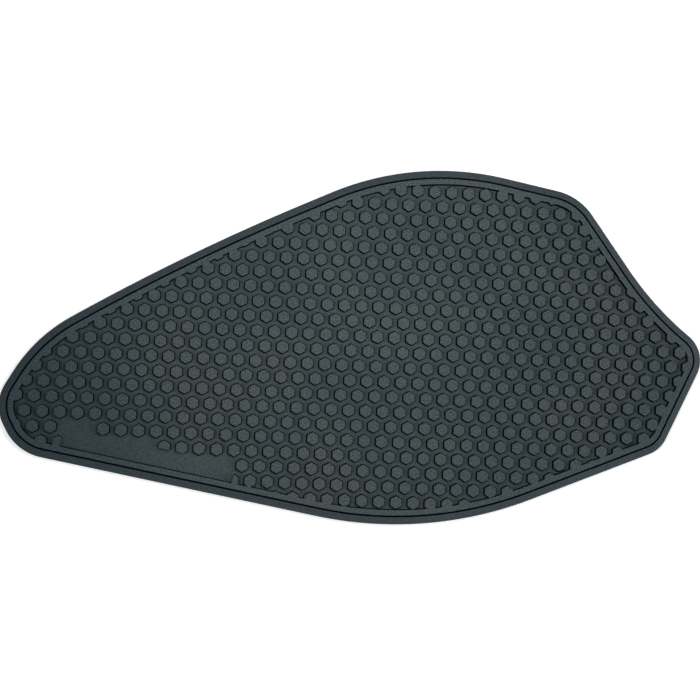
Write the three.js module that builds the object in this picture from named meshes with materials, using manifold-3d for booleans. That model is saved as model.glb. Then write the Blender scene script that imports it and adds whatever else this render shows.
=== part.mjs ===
import * as THREE from 'three';
import { mergeVertices } from 'three/addons/utils/BufferGeometryUtils.js';
import Module from 'manifold-3d';

// Stick-on grip pad for one side of a motorcycle tank, moulded in one piece of rubber.
// Millimetres. The flat back lies on z = 0 and the studs point up. The pad's length runs along X.

// Heights: the band and the studs end at the full thickness
const thickness = 3;
const bevelStep = 0.2;
const bevelFall = 1.3;
const grooveDepth = 0.9;
const floorDepth = 1.35;

// Widths of the border, from the outside in
const bevelWidth = 2.3;
const grooveWidth = 0.5;
const grooveDraft = 0.1;
const bandWidth = 1.75;
const bandDraft = 0.3;

// Hexagonal studs, each with a point towards +Y and a flat towards +X. They lean apart upwards from
// valleys that lie just above the floor.
const studPitch = 5.5;
const studAcrossFlats = 3.5;
const studSeat = { x: 0.4, y: 2.3 };
const valleyRise = 0.05;

// Bare panel beside the straight lower edge. Its places are measured along that edge from the belly
// corner, and its depths from the outline. It is deeper from the step to its end.
const panelStart = 64.5;
const panelStep = 110.5;
const panelEnd = 119.5;
const panelDepth = 10.7;
const panelEndDepth = 12;

// Corners of the outline, anticlockwise, each with the radius that rounds it
const corners = {
  belly: { x: 24.5, y: -61.5, radius: 124 },
  heel: { x: 100, y: -29.5, radius: 10.5 },
  tail: { x: 114.5, y: 3, radius: 10 },
  waist: { x: 96, y: 17, radius: 104 },
  shoulder: { x: 70, y: 51.5, radius: 19 },
  crest: { x: 16, y: 61, radius: 92 },
  back: { x: -55, y: 26.5, radius: 740 },
  brow: { x: -102, y: -3, radius: 50 },
  nose: { x: -114, y: -24.5, radius: 13 },
  chin: { x: -106, y: -39.5, radius: 16 },
};

// Largest distance between a rounded corner and the straight steps that stand for it
const arcError = 0.1;

// How far cutting solids reach past what they cut
const overcut = 0.2;

const wasm = await Module();
wasm.setup();

function toSolid(geometry) {
  const bare = geometry.clone();
  bare.deleteAttribute('normal');
  bare.deleteAttribute('uv');
  const merged = mergeVertices(bare);
  return new wasm.Manifold(new wasm.Mesh({
    numProp: 3,
    vertProperties: new Float32Array(merged.attributes.position.array),
    triVerts: new Uint32Array(merged.index.array),
  }));
}

function toGeometry(solid) {
  const mesh = solid.getMesh();
  const geometry = new THREE.BufferGeometry();
  geometry.setAttribute('position', new THREE.BufferAttribute(mesh.vertProperties, 3));
  geometry.setIndex(new THREE.BufferAttribute(mesh.triVerts, 1));
  geometry.computeVertexNormals();
  return geometry;
}

function point({ x, y }) {
  return new THREE.Vector2(x, y);
}

// A corner becomes an arc that touches both of its edges. side is 1 where the outline turns left,
// and -1 at the hollow waist.
function roundCorner(corner, index, all) {
  const before = all.at(index - 1);
  const after = all[(index + 1) % all.length];
  const arriving = point(corner).sub(before).normalize();
  const leaving = point(after).sub(corner).normalize();
  const turn = Math.atan2(arriving.cross(leaving), arriving.dot(leaving));
  const side = Math.sign(turn);
  const towardsCentre = new THREE.Vector2(-arriving.y, arriving.x).multiplyScalar(side);
  const centre = point(corner)
    .addScaledVector(arriving, -corner.radius * Math.tan(Math.abs(turn) / 2))
    .addScaledVector(towardsCentre, corner.radius);
  const largestStep = 2 * Math.acos(1 - arcError / corner.radius);
  return {
    centre,
    turn,
    side,
    radius: corner.radius,
    start: towardsCentre.negate().angle(),
    steps: Math.ceil(Math.abs(turn) / largestStep),
  };
}

const arcs = Object.values(corners).map(roundCorner);

// The outline moved inwards. Every ring has the same number of points.
function ring(inset) {
  return arcs.flatMap(({ centre, turn, side, radius, start, steps }) => {
    const reach = radius - side * inset;
    return Array.from({ length: steps + 1 }, (_, step) => {
      const angle = start + turn * step / steps;
      return new THREE.Vector2(Math.cos(angle), Math.sin(angle)).multiplyScalar(reach).add(centre);
    });
  });
}

// Closed skin through rings of the outline, from the lowest one up
function loft(levels) {
  const count = ring(0).length;
  const points = levels.flatMap(({ inset, z }) => ring(inset).map(({ x, y }) => new THREE.Vector3(x, y, z)));
  const faces = [];
  for (let base = 0; base < points.length - count; base += count) {
    for (let i = 0; i < count; i += 1) {
      const a = base + i;
      const b = base + (i + 1) % count;
      faces.push(a, b, b + count, a, b + count, a + count);
    }
  }
  const last = points.length - count;
  for (const [a, b, c] of THREE.ShapeUtils.triangulateShape(ring(levels[0].inset), [])) {
    faces.push(c, b, a);
  }
  for (const [a, b, c] of THREE.ShapeUtils.triangulateShape(ring(levels.at(-1).inset), [])) {
    faces.push(last + a, last + b, last + c);
  }
  return new THREE.BufferGeometry().setFromPoints(points).setIndex(faces);
}

// Blank: flat back, upright lip, bevel, groove, and a flat top that starts at the band
const bevelTop = thickness - bevelStep;
const grooveFloor = thickness - grooveDepth;
const grooveEnd = bevelWidth + grooveWidth;
const blank = toSolid(loft([
  { inset: 0, z: 0 },
  { inset: 0, z: bevelTop - bevelFall },
  { inset: bevelWidth, z: bevelTop },
  { inset: bevelWidth + grooveDraft, z: grooveFloor },
  { inset: grooveEnd - grooveDraft, z: grooveFloor },
  { inset: grooveEnd, z: thickness },
]));

// Field: the sunk floor inside the band, down a wall that leans outwards as it rises
const fieldFloor = thickness - floorDepth;
const fieldInset = grooveEnd + bandWidth;
const fieldTop = thickness + overcut;
const field = toSolid(loft([
  { inset: fieldInset + bandDraft, z: fieldFloor },
  { inset: fieldInset - bandDraft * overcut / floorDepth, z: fieldTop },
]));

// Stud lattice. Places are counted in half pitches along X and thirds of a row along Y, so that
// neighbouring cells share their corners exactly.
const rowPitch = studPitch * Math.sqrt(3) / 2;
const cellCorners = [[1, 1], [0, 2], [-1, 1], [-1, -1], [0, -2], [1, -1]];
const studScale = studAcrossFlats / studPitch;
const valley = fieldFloor + valleyRise;

function cellRing(cell, scale, z) {
  return cellCorners.map(([i, j]) => new THREE.Vector3(
    studSeat.x + (cell.i + i * scale) * studPitch / 2,
    studSeat.y + (cell.j + j * scale) * rowPitch / 3,
    z,
  ));
}

// One solid of all studs: a tapered hexagon over each cell, closed off below the floor
function studSolid(cells) {
  const top = fieldTop + overcut;
  const lean = (1 - studScale) / (thickness - valley);
  const taken = new Set(cells.map(({ i, j }) => `${i} ${j}`));
  const points = [];
  for (const cell of cells) {
    const upper = cellRing(cell, studScale - lean * (top - thickness), top);
    const lower = cellRing(cell, 1, valley);
    const foot = cellRing(cell, 1, fieldFloor - overcut);
    for (let k = 1; k < 5; k += 1) {
      points.push(upper[0], upper[k], upper[k + 1], foot[0], foot[k + 1], foot[k]);
    }
    for (let k = 0; k < 6; k += 1) {
      const next = (k + 1) % 6;
      points.push(lower[k], lower[next], upper[next], lower[k], upper[next], upper[k]);
      const [i, j] = [0, 1].map((axis) => cellCorners[k][axis] + cellCorners[next][axis]);
      if (!taken.has(`${cell.i + i} ${cell.j + j}`)) {
        points.push(foot[k], foot[next], lower[next], foot[k], lower[next], lower[k]);
      }
    }
  }
  return toSolid(new THREE.BufferGeometry().setFromPoints(points));
}

// Panel: its own frame runs from the belly corner towards the chin and into the pad
const alongEdge = point(corners.chin).sub(corners.belly).normalize();
const intoPad = new THREE.Vector2(alongEdge.y, -alongEdge.x);

const panelStretches = [
  { from: panelStart, to: panelEnd, depth: panelDepth },
  { from: panelStep, to: panelEnd, depth: panelEndDepth },
];

function inPanel(place) {
  const offset = point(place).sub(corners.belly);
  const along = offset.dot(alongEdge);
  const inwards = offset.dot(intoPad);
  return panelStretches.some(({ from, to, depth }) => along > from && along < to && inwards < depth);
}

function stretchSolid({ from, to, depth }) {
  const box = new THREE.BoxGeometry(to - from, depth, 2 * (floorDepth + 2 * overcut));
  const middle = point(corners.belly)
    .addScaledVector(alongEdge, (from + to) / 2)
    .addScaledVector(intoPad, depth / 2);
  box.rotateZ(alongEdge.angle());
  box.translate(middle.x, middle.y, thickness);
  return toSolid(box);
}

// Studs stand where part of a stud's top lies over the field, but not where its centre is on the
// panel. A stud that crosses the band's edge runs into the band.
const fieldEdge = ring(fieldInset);

function inField({ x, y }) {
  const crossings = fieldEdge.filter((b, index) => {
    const a = fieldEdge.at(index - 1);
    return (a.y > y) !== (b.y > y) && x < a.x + (b.x - a.x) * (y - a.y) / (b.y - a.y);
  });
  return crossings.length % 2 === 1;
}

// Whole numbers of steps that cover a stretch
function stepsOver(low, high, step) {
  const first = Math.floor(low / step);
  return Array.from({ length: Math.ceil(high / step) - first + 1 }, (_, k) => first + k);
}

function studCells() {
  const { min, max } = new THREE.Box2().setFromPoints(fieldEdge.map((p) => p.clone().sub(studSeat)));
  const columns = stepsOver(min.x, max.x, studPitch);
  const rows = stepsOver(min.y, max.y, rowPitch);
  const cells = rows.flatMap((row) => columns.map((column) => (
    { i: 2 * column + Math.abs(row % 2), j: 3 * row }
  )));
  return cells.filter((cell) => {
    const [centre] = cellRing(cell, 0, thickness);
    const reaches = inField(centre) || cellRing(cell, studScale, thickness).some(inField);
    return reaches && !inPanel(centre);
  });
}

const panel = panelStretches.map(stretchSolid).reduce((all, next) => all.add(next));
const studs = studSolid(studCells()).subtract(panel);
const pad = blank.subtract(field.subtract(studs));

const rubber = new THREE.MeshStandardMaterial({ color: 0x4a555a, roughness: 0.6, metalness: 0 });
const tankPad = new THREE.Mesh(toGeometry(pad), rubber);
tankPad.name = 'tank_pad';

const model = new THREE.Group();
model.add(tankPad);
export default model;
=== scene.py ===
from math import acos, asin, ceil, copysign, pi, radians, sqrt, tan

import bmesh
import bpy
from mathutils import Matrix, Vector
from mathutils.bvhtree import BVHTree


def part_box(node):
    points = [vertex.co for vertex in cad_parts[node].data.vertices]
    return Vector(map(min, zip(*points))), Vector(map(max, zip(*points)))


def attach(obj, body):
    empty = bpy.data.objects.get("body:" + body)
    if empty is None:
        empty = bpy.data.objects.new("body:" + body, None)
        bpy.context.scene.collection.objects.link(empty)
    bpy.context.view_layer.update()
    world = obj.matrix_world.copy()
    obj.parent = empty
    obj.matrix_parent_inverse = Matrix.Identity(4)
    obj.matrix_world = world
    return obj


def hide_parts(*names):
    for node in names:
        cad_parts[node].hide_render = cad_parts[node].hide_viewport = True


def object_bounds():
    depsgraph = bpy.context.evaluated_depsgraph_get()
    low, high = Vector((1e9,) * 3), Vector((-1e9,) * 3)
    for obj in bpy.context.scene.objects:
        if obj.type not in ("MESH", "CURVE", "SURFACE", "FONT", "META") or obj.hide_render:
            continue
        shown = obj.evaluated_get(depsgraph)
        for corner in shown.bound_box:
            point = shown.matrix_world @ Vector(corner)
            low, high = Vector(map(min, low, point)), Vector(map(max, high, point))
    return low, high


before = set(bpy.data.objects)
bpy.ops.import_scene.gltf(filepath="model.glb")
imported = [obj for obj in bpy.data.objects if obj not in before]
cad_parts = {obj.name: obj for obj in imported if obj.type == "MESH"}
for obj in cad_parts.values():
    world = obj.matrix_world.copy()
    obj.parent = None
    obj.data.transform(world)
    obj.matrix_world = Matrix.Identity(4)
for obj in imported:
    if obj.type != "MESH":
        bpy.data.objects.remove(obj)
cadBounds = [list(corner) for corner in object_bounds()]
mm = 0.001
tolerance = 0.01 * mm  # heights that differ by less count as the same
up = Vector((0, 0, 1))
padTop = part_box("tank_pad")[1].z
print("frame loaded, pad thickness in mm:", round(padTop / mm, 2))

# Corners of the outline, anticlockwise: x, y and the radius that rounds them, in mm
outline = {
    "belly": (24.5, -61.5, 124),
    "heel": (100, -29.5, 10.5),
    "tail": (114.5, 3, 10),
    "waist": (96, 17, 104),
    "shoulder": (70, 51.5, 19),
    "crest": (16, 61, 92),
    "back": (-55, 26.5, 740),
    "brow": (-102, -3, 50),
    "nose": (-114, -24.5, 13),
    "chin": (-106, -39.5, 16),
}
arcError = 0.008 * mm  # how far the short straight steps of an arc may lie from it

border = {
    "lipHeight": 1.5 * mm,  # upright outer edge
    "bevelWidth": 2.26 * mm,
    "bevelStep": 0.2 * mm,  # the bevel ends this much under the band
    "grooveWidth": 0.6 * mm,
    "grooveDepth": 0.9 * mm,
    "grooveDraft": 0.1 * mm,
    "bandWidth": 1.69 * mm,
    "bandDraft": 0.3 * mm,
    "fieldDepth": 1.35 * mm,
    "creaseAngle": radians(20),  # edges that turn further than this are rounded
    "edgeRound": 0.08 * mm,
    "edgeSegments": 3,
    "hollowRound": 0.05 * mm,
    "hollowSegments": 2,
}

stud = {
    "pitch": 5.5 * mm,
    "seat": Vector((0.4, 2.3, 0)) * mm,  # where one stud stands, the others follow from it
    "topFlats": 3.5 * mm,
    "draft": 0.26 * mm,
    "flare": 0.1 * mm,  # soft foot where a stud meets the floor
    "root": 0.5 * mm,  # hidden length under the floor
    "cornerRound": 0.15 * mm,
    "rimRound": 0.08 * mm,
}

# Bare panel beside the straight lower edge, measured from the belly corner towards the chin
panel = {
    "start": 64.5 * mm,
    "step": 110.5 * mm,
    "end": 119.5 * mm,
    "depth": 10.7 * mm,
    "endDepth": 12 * mm,
}

fieldFloor = padTop - border["fieldDepth"]
bandStart = border["bevelWidth"] + border["grooveWidth"]
fieldEdge = bandStart + border["bandWidth"]


def cornerPoint(name):
    x, y, _ = outline[name]
    return Vector((x, y, 0)) * mm


# A corner becomes an arc spun about its centre. The inset moves the whole outline inwards.
def spinCorner(bm, name, inset, height):
    names = list(outline)
    place = names.index(name)
    corner = cornerPoint(name)
    radius = outline[name][2] * mm
    arriving = (corner - cornerPoint(names[place - 1])).normalized()
    leaving = (cornerPoint(names[(place + 1) % len(names)]) - corner).normalized()
    turn = asin(arriving.cross(leaving).z)
    side = copysign(1, turn)
    centre = corner - arriving * radius * tan(abs(turn) / 2) + up.cross(arriving) * side * radius
    start = centre - up.cross(arriving) * side * (radius - side * inset)
    first = bm.verts.new(start + up * height)
    steps = ceil(abs(turn) / (2 * acos(1 - arcError / radius)))
    spun = bmesh.ops.spin(bm, geom=[first], cent=centre, axis=up, angle=turn, steps=steps)
    last = next(item for item in spun["geom_last"] if isinstance(item, bmesh.types.BMVert))
    return first, last


# The outline as one flat face
def outlineFace(bm, inset, height):
    ends = [spinCorner(bm, name, inset, height) for name in outline]
    for (_, before), (after, _) in zip(ends, ends[1:] + ends[:1]):
        bm.edges.new((before, after))
    return bmesh.ops.contextual_create(bm, geom=bm.edges[:])["faces"][0]


# Insets a face, then lifts or sinks it
def stepFace(bm, face, inset, rise):
    if inset:
        bmesh.ops.inset_region(bm, faces=[face], thickness=inset, use_even_offset=True)
    bmesh.ops.translate(bm, vec=up * rise, verts=face.verts)


def extrudeFace(bm, face, height):
    grown = bmesh.ops.extrude_face_region(bm, geom=[face])["geom"]
    top = next(item for item in grown if isinstance(item, bmesh.types.BMFace))
    bmesh.ops.translate(bm, vec=up * height, verts=top.verts)
    return top


# Rounds edges over. A single segment makes a chamfer.
def roundEdges(bm, edges, offset, segments=1):
    bmesh.ops.bevel(
        bm, geom=edges, offset=offset, segments=segments, profile=0.5, affect="EDGES", material=-1)


def finishMesh(name, bm):
    bmesh.ops.recalc_face_normals(bm, faces=bm.faces)
    mesh = bpy.data.meshes.new(name)
    bm.to_mesh(mesh)
    bm.free()
    return mesh


def bmeshObject(name, bm):
    piece = bpy.data.objects.new(name, finishMesh(name, bm))
    bpy.context.scene.collection.objects.link(piece)
    return piece


# Joins or cuts a piece with another one, which is used up
def combine(piece, other, operation):
    boolean = piece.modifiers.new("combine", "BOOLEAN")
    boolean.operation = operation
    boolean.solver = "MANIFOLD"
    boolean.object = other
    evaluated = piece.evaluated_get(bpy.context.evaluated_depsgraph_get())
    finished = bpy.data.meshes.new_from_object(evaluated)
    piece.modifiers.clear()
    piece.data = finished
    bpy.data.objects.remove(other)


# Lip, bevel, groove, band and sunk field, stepped inwards from the outline
def makeTray():
    bm = bmesh.new()
    face = extrudeFace(bm, outlineFace(bm, 0, 0), border["lipHeight"])
    bevelTop = padTop - border["bevelStep"]
    grooveFloor = padTop - border["grooveDepth"]
    draft = border["grooveDraft"]
    stepFace(bm, face, border["bevelWidth"], bevelTop - border["lipHeight"])
    stepFace(bm, face, draft, grooveFloor - bevelTop)
    stepFace(bm, face, border["grooveWidth"] - 2 * draft, 0)
    stepFace(bm, face, draft, border["grooveDepth"])
    stepFace(bm, face, border["bandWidth"], 0)
    stepFace(bm, face, border["bandDraft"], -border["fieldDepth"])
    bmesh.ops.recalc_face_normals(bm, faces=bm.faces)
    aboveBack = [edge for edge in bm.edges if edge.verts[0].co.z > tolerance]
    creases = [edge for edge in aboveBack if edge.calc_face_angle() > border["creaseAngle"]]
    hollows = [edge for edge in creases if edge.calc_face_angle_signed() < 0]
    rims = [edge for edge in creases if edge.calc_face_angle_signed() > 0]
    roundEdges(bm, rims, border["edgeRound"], border["edgeSegments"])
    hollows = [edge for edge in hollows if edge.is_valid]
    roundEdges(bm, hollows, border["hollowRound"], border["hollowSegments"])
    return bmeshObject("tray", bm)


# A hexagon with its first corner towards +Y, stepped up from under the floor
def makeStudMesh():
    bm = bmesh.new()
    footFlats = stud["topFlats"] + 2 * (stud["draft"] + stud["flare"])
    place = Matrix.Translation(up * (fieldFloor - stud["root"]))
    bmesh.ops.create_circle(bm, cap_ends=True, segments=6, radius=footFlats / sqrt(3), matrix=place)
    face = extrudeFace(bm, bm.faces[:][0], stud["root"])
    stepFace(bm, face, stud["flare"], stud["flare"])
    stepFace(bm, face, stud["draft"], border["fieldDepth"] - stud["flare"])
    uprights = [edge for edge in bm.edges if abs(edge.verts[0].co.z - edge.verts[1].co.z) > tolerance]
    roundEdges(bm, uprights, stud["cornerRound"])
    rim = [edge for edge in bm.edges if min(vert.co.z for vert in edge.verts) > padTop - tolerance]
    roundEdges(bm, rim, stud["rimRound"])
    return finishMesh("stud", bm)


# Frame of the panel: along the edge from the belly to the chin, and into the pad
panelAlong = (cornerPoint("chin") - cornerPoint("belly")).normalized()
panelInto = panelAlong.cross(up)
panelStretches = [
    (panel["start"], panel["end"], panel["depth"]),
    (panel["step"], panel["end"], panel["endDepth"]),
]


def onPanel(place):
    along = (place - cornerPoint("belly")).dot(panelAlong)
    into = (place - cornerPoint("belly")).dot(panelInto)
    return any(start < along < end and into < depth for start, end, depth in panelStretches)


def panelBlock(start, end, depth):
    bm = bmesh.new()
    middle = cornerPoint("belly") + panelAlong * (start + end) / 2 + panelInto * depth / 2 + up * padTop
    turned = Matrix((panelAlong, panelInto, -up)).transposed().to_4x4()
    size = Matrix.Diagonal((end - start, depth, 2 * padTop, 1))
    bmesh.ops.create_cube(bm, size=1, matrix=Matrix.Translation(middle) @ turned @ size)
    return bmeshObject("panelBlock", bm)


# A stud stands where its centre or a corner of its top lies over the field, unless its centre is
# on the panel
def studPlaces():
    fieldMesh = bmesh.new()
    outlineFace(fieldMesh, fieldEdge, 0)
    fieldTree = BVHTree.FromBMesh(fieldMesh)
    fieldMesh.free()
    pitch = stud["pitch"]
    rowPitch = pitch * sqrt(3) / 2
    tip = Vector((0, stud["topFlats"] / sqrt(3), 0))
    tips = [Matrix.Rotation(turn * pi / 3, 3, "Z") @ tip for turn in range(6)]
    low, high = [Vector(corner) - stud["seat"] for corner in cadBounds]
    rows = range(ceil(low.y / rowPitch), ceil(high.y / rowPitch))
    columns = range(ceil(low.x / pitch) - 1, ceil(high.x / pitch))
    places = []
    for row in rows:
        shift = pitch / 2 if row % 2 else 0
        for column in columns:
            place = stud["seat"] + Vector((column * pitch + shift, row * rowPitch, 0))
            reach = [place, *(place + corner for corner in tips)]
            overField = any(fieldTree.ray_cast(point + up, -up)[0] for point in reach)
            if overField and not onPanel(place):
                places.append(place)
    return places


# All studs as one set of shells, kept inside the middle of the band and off the panel
def makeStuds():
    studMesh = makeStudMesh()
    bm = bmesh.new()
    places = studPlaces()
    for place in places:
        bm.from_mesh(studMesh)
        bm.verts.ensure_lookup_table()
        bmesh.ops.translate(bm, vec=place, verts=bm.verts[-len(studMesh.vertices):])
    studs = bmeshObject("studs", bm)
    limit = bmesh.new()
    extrudeFace(limit, outlineFace(limit, bandStart + border["bandWidth"] / 2, 0), 2 * padTop)
    combine(studs, bmeshObject("limit", limit), "INTERSECT")
    for start, end, depth in panelStretches:
        combine(studs, panelBlock(start, end, depth), "DIFFERENCE")
    print("studs placed:", len(places), "faces on one:", len(studMesh.polygons))
    return studs


padFinish = {
    "sliver": 0.001 * mm,  # the cuts leave slivers thinner than this
    "sharpAngle": radians(32),
}


def makePad():
    pad = makeTray()
    combine(pad, makeStuds(), "UNION")
    pad.name = pad.data.name = "rubber_pad"
    bm = bmesh.new()
    bm.from_mesh(pad.data)
    bmesh.ops.dissolve_degenerate(bm, edges=bm.edges, dist=padFinish["sliver"])
    openEdges = [edge for edge in bm.edges if not edge.is_manifold]
    print("pad faces:", len(bm.faces), "open edges:", len(openEdges))
    bm.to_mesh(pad.data)
    bm.free()
    pad.data.shade_smooth()
    pad.data.set_sharp_from_angle(angle=padFinish["sharpAngle"])
    weighting = pad.modifiers.new("faceWeightedNormals", "WEIGHTED_NORMAL")
    weighting.keep_sharp = True
    return pad


# Gives a material or a world an empty node tree
def emptyTree(owner):
    owner.use_nodes = True
    owner.node_tree.nodes.clear()
    return owner.node_tree


# Adds a node. An input that is a socket is linked, any other is set to its value.
def addNode(tree, kind, inputs=None, **settings):
    node = tree.nodes.new(kind)
    for key, value in settings.items():
        setattr(node, key, value)
    for key, value in (inputs or {}).items():
        if isinstance(value, bpy.types.NodeSocket):
            tree.links.new(value, node.inputs[key])
        else:
            node.inputs[key].default_value = value
    return node


def calculate(tree, operation, *values):
    node = addNode(tree, "ShaderNodeMath", dict(enumerate(values)), operation=operation)
    return node.outputs["Value"]


# Carries the first stretch of values over to the second one
def mapRange(tree, value, source, target=(0, 1), **settings):
    inputs = {
        "Value": value,
        "From Min": source[0],
        "From Max": source[1],
        "To Min": target[0],
        "To Max": target[1],
    }
    return addNode(tree, "ShaderNodeMapRange", inputs, **settings).outputs["Result"]


def blend(tree, share, first, second):
    inputs = {"Factor": share, "A": first, "B": second}
    return addNode(tree, "ShaderNodeMix", inputs, data_type="RGBA").outputs["Result"]


def scaleColour(tree, colour, amount):
    inputs = {0: colour, "Scale": amount}
    return addNode(tree, "ShaderNodeVectorMath", inputs, operation="SCALE").outputs["Vector"]


# Most pairs are the ends of a stretch over which one look turns into another: places, depths,
# values of the noise, or how far a face looks up or towards +X
rubber = {
    "slate": (0.067, 0.085, 0.088, 1),
    "slateCool": (0.057, 0.077, 0.084, 1),
    "patchSize": 35 * mm,
    "patchDetail": 1,
    "coolPatches": (0.38, 0.62),
    "slateNoseShaded": (0.042, 0.061, 0.072, 1),  # painted shade: the lower narrow end is darker and cooler, standing in for the lower light on it
    "towardsNose": (-0.9, -0.44, 0),
    "noseTurn": (58 * mm, 104 * mm),
    "grainSize": 0.5 * mm,
    "grainDetail": 3,
    "grainRoughness": 0.7,
    "grainShade": 3.4,  # how far the grain lightens and darkens the tops
    "smoothGrain": 0.55,  # share of the grain that floor and bevel have
    "topDepth": (0.15 * mm, 0.05 * mm),
    "grainHeight": 0.05 * mm,
    "grainBump": 0.7,
    "roughGrain": (0.25, 0.75),
    "roughness": (0.5, 0.7),
    "sheen": 0.02,
    "levelFace": (0.92, 0.98),
    "floorPaintedShade": 0.9,  # painted shade: the sunk floor is darker than the rough tops
    # painted shade: the bottom of the groove is nearly black
    "groovePaintedShade": 0.02,
    "grooveReach": 0.1,  # a share of the field's depth, as are the next two
    "grooveFade": 0.05,
    "topStart": 0.8,
    "bevelShadeTint": (0.85, 0.87, 0.94, 1),  # painted shade with a bluer tone: the sloping bevel is darker and bluer, except near the nose
    # painted light: near the nose the bevel keeps almost none of its painted shade
    "bevelNosePaintedLight": (1.02, 1, 1, 1),
    "steepFace": (0.8, 0.4),
    "wallFade": 0.1 * mm,
    "wallPaintedShade": 0.035,  # painted shade: the steep walls round the studs and in the groove are nearly black
    "noseWallPaintedLight": 0.9,  # painted light, added near the nose on walls that face it
    "noseFacing": (-0.1, -0.7),
    "worn": (0.11, 0.125, 0.13, 1),
    "wearAmount": 0.3,
    "wornPatches": (0.35, 0.65),
    "wearDepth": 0.25 * mm,  # wear reaches this far down from the top
    "rimFace": (0.995, 0.85),
    "lipRim": (0.12 * mm, 0.04 * mm),
}


# Warmer and cooler slate in soft patches, with the grain of the mould in it, darkened and cooled
# towards the nose by painted shade
def rubberSlate(tree, noseShadeAndLightShare, height, patches, grain):
    coolShare = mapRange(tree, patches, rubber["coolPatches"])
    patchy = blend(tree, coolShare, rubber["slate"], rubber["slateCool"])
    tint = blend(tree, noseShadeAndLightShare, patchy, rubber["slateNoseShaded"])
    topHeights = [padTop - depth for depth in rubber["topDepth"]]
    shades = (rubber["smoothGrain"] * rubber["grainShade"], rubber["grainShade"])
    strength = mapRange(tree, height, topHeights, shades)
    centred = calculate(tree, "SUBTRACT", grain, 0.5)
    speckle = calculate(tree, "MULTIPLY_ADD", centred, strength, 1)
    return scaleColour(tree, tint, speckle)


# Painted shade on a level face by its height: darker on the field floor, nearly black at the groove's
# bottom, none on the tops. Sloping faces have the bevel's tint: painted shade with a bluer tone, lifted
# by painted light near the nose.
def depthPaintedShade(tree, noseShadeAndLightShare, height, upright):
    share = mapRange(tree, height, (fieldFloor, padTop))
    shades = addNode(tree, "ShaderNodeValToRGB", {"Fac": share})
    grooveShare = 1 - border["grooveDepth"] / border["fieldDepth"]
    grooveStart = grooveShare - rubber["grooveReach"]
    stops = [
        (0, rubber["floorPaintedShade"]),
        (grooveStart - rubber["grooveFade"], rubber["floorPaintedShade"]),
        (grooveStart, rubber["groovePaintedShade"]),
        (grooveShare + rubber["grooveReach"], rubber["groovePaintedShade"]),
        (rubber["topStart"], 1),
    ]
    ramp = shades.color_ramp.elements
    while len(ramp) < len(stops):
        ramp.new(1)
    for element, (place, paintedShade) in zip(ramp, stops):
        element.position = place
        element.color = (paintedShade, paintedShade, paintedShade, 1)
    levelShare = mapRange(tree, upright, rubber["levelFace"])
    bevel = blend(tree, noseShadeAndLightShare, rubber["bevelShadeTint"], rubber["bevelNosePaintedLight"])
    return blend(tree, levelShare, bevel, shades.outputs["Color"])


# Rubbed rims: pale where the top edges and the lip round over, more in some patches than in others
def rimWear(tree, height, upright, patches):
    nearTop = mapRange(tree, height, (padTop - rubber["wearDepth"], padTop))
    turned = mapRange(tree, upright, rubber["rimFace"])
    topRim = calculate(tree, "MULTIPLY", nearTop, turned)
    offLip = calculate(tree, "ABSOLUTE", calculate(tree, "SUBTRACT", height, border["lipHeight"]))
    lipRim = mapRange(tree, offLip, rubber["lipRim"])
    rims = calculate(tree, "MAXIMUM", topRim, lipRim)
    rubbed = mapRange(tree, patches, rubber["wornPatches"], (0, rubber["wearAmount"]))
    return calculate(tree, "MULTIPLY", rims, rubbed)


# Steep faces above the outer lip, which take the walls' painted shade
def wallShadeShare(tree, height, upright):
    steep = mapRange(tree, upright, rubber["steepFace"])
    lipTop = border["lipHeight"]
    inside = mapRange(tree, height, (lipTop, lipTop + rubber["wallFade"]))
    return calculate(tree, "MULTIPLY", steep, inside)


# Painted shade makes the walls nearly black, and painted light lifts those near the nose that face it
def wallPaintedShade(tree, noseShadeAndLightShare, facingX):
    towardsNose = mapRange(tree, facingX, rubber["noseFacing"], (0, rubber["noseWallPaintedLight"]))
    return calculate(tree, "MULTIPLY_ADD", towardsNose, noseShadeAndLightShare, rubber["wallPaintedShade"])


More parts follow.
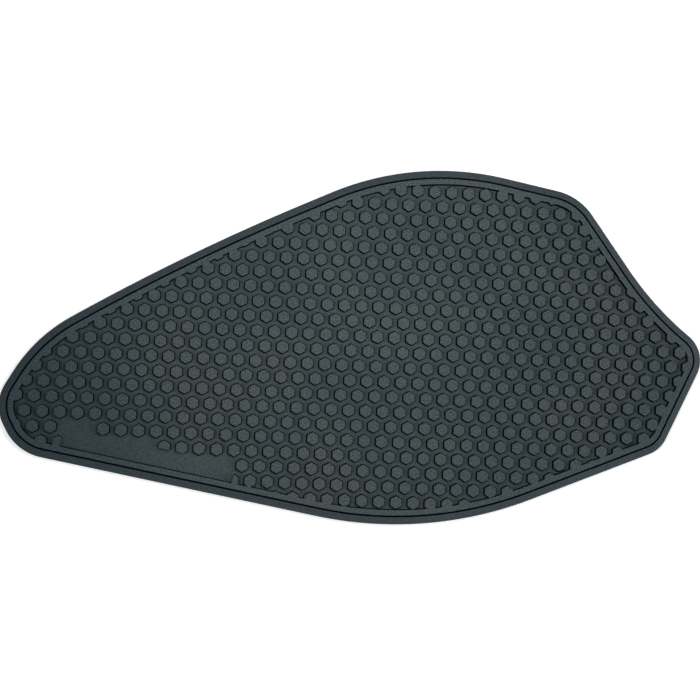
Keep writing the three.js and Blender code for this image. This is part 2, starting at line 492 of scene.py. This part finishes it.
def makeRubber():
    material = bpy.data.materials.new("rubber")
    tree = emptyTree(material)
    coordinates = addNode(tree, "ShaderNodeTexCoord").outputs
    place = coordinates["Object"]
    height = addNode(tree, "ShaderNodeSeparateXYZ", {"Vector": place}).outputs["Z"]
    facing = addNode(tree, "ShaderNodeSeparateXYZ", {"Vector": coordinates["Normal"]}).outputs
    upright = calculate(tree, "ABSOLUTE", facing["Z"])
    patches = addNode(tree, "ShaderNodeTexNoise", {
        "Vector": place,
        "Scale": 1 / rubber["patchSize"],
        "Detail": rubber["patchDetail"],
    }).outputs["Fac"]
    grain = addNode(tree, "ShaderNodeTexNoise", {
        "Vector": place,
        "Scale": 1 / rubber["grainSize"],
        "Detail": rubber["grainDetail"],
        "Roughness": rubber["grainRoughness"],
    }).outputs["Fac"]
    # Share of the nose end: there painted shade darkens the slate, and painted light lifts the bevel
    # and the walls that face the nose
    reach = addNode(tree, "ShaderNodeVectorMath", {
        0: place, 1: rubber["towardsNose"]}, operation="DOT_PRODUCT").outputs["Value"]
    noseShadeAndLightShare = mapRange(tree, reach, rubber["noseTurn"], interpolation_type="SMOOTHSTEP")

    slate = rubberSlate(tree, noseShadeAndLightShare, height, patches, grain)
    paintedShade = depthPaintedShade(tree, noseShadeAndLightShare, height, upright)
    # Slate with the painted shade of depth and bevel
    depthShaded = addNode(tree, "ShaderNodeVectorMath", {
        0: slate, 1: paintedShade}, operation="MULTIPLY").outputs["Vector"]
    worn =blend(tree, rimWear(tree, height, upright, patches), depthShaded, rubber["worn"])
    # Painted shade on the walls, and painted light on those near the nose that face it
    shadedWall = scaleColour(tree, slate, wallPaintedShade(tree, noseShadeAndLightShare, facing["X"]))
    bump = addNode(tree, "ShaderNodeBump", {
        "Height": grain,
        "Distance": rubber["grainHeight"],
        "Strength": rubber["grainBump"],
    })
    surface = addNode(tree, "ShaderNodeBsdfPrincipled", {
        "Base Color": blend(tree, wallShadeShare(tree, height, upright), worn, shadedWall),
        "Roughness": mapRange(tree, grain, rubber["roughGrain"], rubber["roughness"]),
        "Normal": bump.outputs["Normal"],
        "Specular IOR Level": rubber["sheen"],
    })
    addNode(tree, "ShaderNodeOutputMaterial", {"Surface": surface.outputs["BSDF"]})
    return material


# 1 for rays that show the backdrop itself: straight to the camera, in a reflection or through glass
def backdropRays(tree):
    ray = addNode(tree, "ShaderNodeLightPath").outputs
    mirrored = calculate(tree, "MAXIMUM", ray["Is Glossy Ray"], ray["Is Transmission Ray"])
    return calculate(tree, "MAXIMUM", ray["Is Camera Ray"], mirrored)


# The floor glows for backdrop rays alone, so bare floor shows white and the pad's shadow stays
floor = {
    "size": 12,
    "gap": 0.02 * mm,
    "colour": (0.86, 0.86, 0.86, 1),
    "glow": (0.5, 0.88),  # near the pad and far off
    "glowTurn": (0.15, 0.5),  # distances between which it grows
}


def makeFloor():
    bm = bmesh.new()
    under = Matrix.Translation(-up * floor["gap"])
    bmesh.ops.create_grid(bm, x_segments=1, y_segments=1, size=floor["size"] / 2, matrix=under)
    piece = bmeshObject("floor", bm)
    material = bpy.data.materials.new("floor")
    tree = emptyTree(material)
    paper = addNode(tree, "ShaderNodeBsdfDiffuse", {"Color": floor["colour"]})
    place = addNode(tree, "ShaderNodeTexCoord").outputs["Object"]
    distance = addNode(tree, "ShaderNodeVectorMath", {0: place}, operation="LENGTH").outputs["Value"]
    strength = mapRange(tree, distance, floor["glowTurn"], floor["glow"])
    glow = calculate(tree, "MULTIPLY", backdropRays(tree), strength)
    white = addNode(tree, "ShaderNodeEmission", {"Strength": glow})
    both = addNode(tree, "ShaderNodeAddShader", {0: paper.outputs[0], 1: white.outputs[0]})
    addNode(tree, "ShaderNodeOutputMaterial", {"Surface": both.outputs[0]})
    piece.data.materials.append(material)
    return piece


# Lamps stand at places in metres and look at the middle of the pad. Power is in watts.
studio = {
    "ambient": 0.14,
    "leftLamp": {"place": (-0.5, -0.1, 0.55), "size": 0.5, "power": 1.5},
    "rightLamp": {"place": (0.75, -0.12, 0.3), "size": 0.5, "power": 3.9},
    "overhead": {"place": (0.008, 0.036, 0.155), "size": 0.12, "power": 0.156},
}


# White to backdrop rays, and a dim room to all others
def makeWorld():
    world = bpy.data.worlds.new("studio")
    bpy.context.scene.world = world
    tree = emptyTree(world)
    white = (1, 1, 1, 1)
    room = addNode(tree, "ShaderNodeBackground", {"Color": white, "Strength": studio["ambient"]})
    backdrop = addNode(tree, "ShaderNodeBackground", {"Color": white, "Strength": 1})
    mixed = addNode(tree, "ShaderNodeMixShader", {
        0: backdropRays(tree), 1: room.outputs[0], 2: backdrop.outputs[0]})
    addNode(tree, "ShaderNodeOutputWorld", {"Surface": mixed.outputs[0]})


def makeLamp(name):
    values = studio[name]
    lamp = bpy.data.lights.new(name, "AREA")
    lamp.shape = "DISK"
    lamp.size = values["size"]
    lamp.energy = values["power"]
    piece = bpy.data.objects.new(name, lamp)
    piece.location = values["place"]
    piece.rotation_euler = (-piece.location).to_track_quat("-Z", "Y").to_euler()
    piece.visible_camera = False
    bpy.context.scene.collection.objects.link(piece)


# Looks down on the pad from over its left part, a little in front of the middle
camera = {
    "place": Vector((-66.2, -35.9, 603.8)) * mm,
    "turn": (2.903, -6.165, 2.607),  # degrees about X, Y and Z
    "lens": 97.7,
    "sensor": 36,
    "clipStart": 10 * mm,
}


def makeCamera():
    lens = bpy.data.cameras.new("camera")
    lens.lens = camera["lens"]
    lens.sensor_width = camera["sensor"]
    lens.clip_start = camera["clipStart"]
    piece = bpy.data.objects.new("camera", lens)
    piece.location = camera["place"]
    piece.rotation_euler = [radians(angle) for angle in camera["turn"]]
    bpy.context.scene.collection.objects.link(piece)
    bpy.context.scene.camera = piece


makeCamera()
makeWorld()
makeLamp("leftLamp")
makeLamp("rightLamp")
makeLamp("overhead")
makeFloor()
bpy.context.scene.view_settings.view_transform = "Standard"
print("studio ready")

pad = makePad()
pad.data.materials.clear()
pad.data.materials.append(makeRubber())
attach(pad, "root")
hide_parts("tank_pad")
print("pad dressed")
